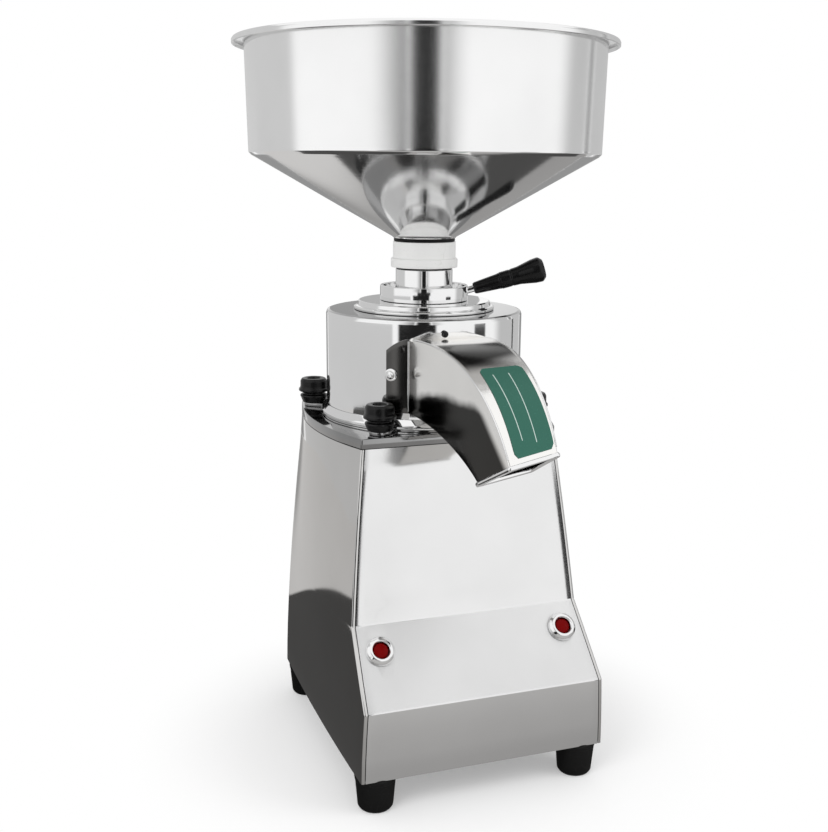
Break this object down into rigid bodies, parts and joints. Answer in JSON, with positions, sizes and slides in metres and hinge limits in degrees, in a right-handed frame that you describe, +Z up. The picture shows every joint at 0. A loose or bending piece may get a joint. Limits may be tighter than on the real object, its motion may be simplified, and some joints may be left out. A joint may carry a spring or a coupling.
{
  "type": "domestic flour mill",
  "caption": "Table-top flour mill: flared feed hopper on a lever-gated feed tube, grinding drum held by clamp knobs, curved discharge chute and a folded steel motor stand.",
  "frame": {"origin": "on the table under the middle of the whole machine's box", "axes": "+Z up along the mill axis; -Y the front, where the chute and buttons are; +X to the right seen from the front"},
  "size_m": [0.332, 0.4098, 0.627],
  "materials": {
    "polished_steel": "mirror-polished stainless steel",
    "satin_steel": "stainless sheet, fine satin",
    "plain_steel": "turned steel",
    "cast_metal": "cast and laminated motor metal",
    "black_plastic": "black moulded plastic",
    "black_rubber": "black rubber",
    "white_nylon": "white turned nylon",
    "red_lens": "dark red button cap",
    "aluminium_can": "plain drawn can"
  },
  "bodies": {
    "stand": {"top_plate": "polished_steel", "button_bezel_left": "polished_steel", "button_bezel_right": "polished_steel", "body_shell": "satin_steel", "front_panel": "satin_steel", "base_plate": "satin_steel", "clamp_stud_front_left": "plain_steel", "clamp_stud_front_right": "plain_steel", "clamp_stud_rear_left": "plain_steel", "clamp_stud_rear_right": "plain_steel", "switch_nut_left": "plain_steel", "switch_nut_right": "plain_steel", "motor_bolt_1": "plain_steel", "motor_bolt_2": "plain_steel", "motor_bolt_3": "plain_steel", "motor_bolt_4": "plain_steel", "upper_bearing": "plain_steel", "lower_bearing": "plain_steel", "motor_end_bell": "cast_metal", "motor_housing": "cast_metal", "motor_tail_bell": "cast_metal", "stator_core": "cast_metal", "switch_body_left": "black_plastic", "switch_body_right": "black_plastic", "cord_gland": "black_plastic", "foot_front_left": "black_rubber", "foot_front_right": "black_rubber", "foot_rear_left": "black_rubber", "foot_rear_right": "black_rubber", "shaft_seal": "black_rubber", "run_capacitor": "aluminium_can"},
    "motor_rotor": {"motor_shaft": "plain_steel", "rotor_core": "cast_metal", "cooling_fan": "black_plastic", "hammer_rotor": "plain_steel", "rotor_nut": "plain_steel"},
    "start_button": {"button_lens_left": "red_lens"},
    "stop_button": {"button_lens_right": "red_lens"},
    "grinding_head": {"grinding_drum": "polished_steel", "drum_flange": "satin_steel", "lid_boss": "polished_steel", "sieve_ring": "satin_steel", "feed_tube": "polished_steel", "gate_seat": "satin_steel", "discharge_chute": "satin_steel", "chute_side_bolt": "polished_steel", "chute_top_bolt": "black_plastic", "tube_gasket": "black_rubber", "nylon_coupler": "white_nylon", "hopper_gasket": "black_rubber"},
    "feed_collar": {"adjusting_collar": "polished_steel", "gate_blade": "satin_steel", "lever_stem": "polished_steel", "lever_grip": "black_plastic"},
    "hopper_unit": {"hopper": "satin_steel"},
    "knob_front_left": {"clamp_knob_front_left": "black_plastic"},
    "knob_front_right": {"clamp_knob_front_right": "black_plastic"},
    "knob_rear_left": {"clamp_knob_rear_left": "black_plastic"},
    "knob_rear_right": {"clamp_knob_rear_right": "black_plastic"}
  },
  "joints": [
    {"name": "rotor_spin", "type": "hinge", "parent": "stand", "child": "motor_rotor", "pos_m": [0, 0.0393, 0.32], "axis": [0, 0, 1], "continuous": true},
    {"name": "left_button_press", "type": "slide", "parent": "stand", "child": "start_button", "axis": [0, 0.7555, -0.6552], "range_m": [0, 0.003], "stiffness_N_per_m": 300},
    {"name": "right_button_press", "type": "slide", "parent": "stand", "child": "stop_button", "axis": [0, 0.7555, -0.6552], "range_m": [0, 0.003], "stiffness_N_per_m": 300},
    {"name": "head_lift", "type": "slide", "parent": "stand", "child": "grinding_head", "axis": [0, 0, 1], "range_m": [0, 0.12]},
    {"name": "feed_collar_turn", "type": "hinge", "parent": "grinding_head", "child": "feed_collar", "pos_m": [0, 0.0393, 0.41], "axis": [0, 0, 1], "range_deg": [0, 80]},
    {"name": "hopper_lift", "type": "slide", "parent": "grinding_head", "child": "hopper_unit", "axis": [0, 0, 1], "range_m": [0, 0.06]},
    {"name": "knob_turn_front_left", "type": "hinge", "parent": "grinding_head", "child": "knob_front_left", "pos_m": [-0.06749, -0.04113, 0.315], "axis": [0, 0, 1], "continuous": true},
    {"name": "knob_turn_front_right", "type": "hinge", "parent": "grinding_head", "child": "knob_front_right", "pos_m": [0.07679, -0.03231, 0.315], "axis": [0, 0, 1], "continuous": true},
    {"name": "knob_turn_rear_left", "type": "hinge", "parent": "grinding_head", "child": "knob_rear_left", "pos_m": [-0.08904, 0.09494, 0.315], "axis": [0, 0, 1], "continuous": true},
    {"name": "knob_turn_rear_right", "type": "hinge", "parent": "grinding_head", "child": "knob_rear_right", "pos_m": [0.08904, 0.09494, 0.315], "axis": [0, 0, 1], "continuous": true}
  ]
}
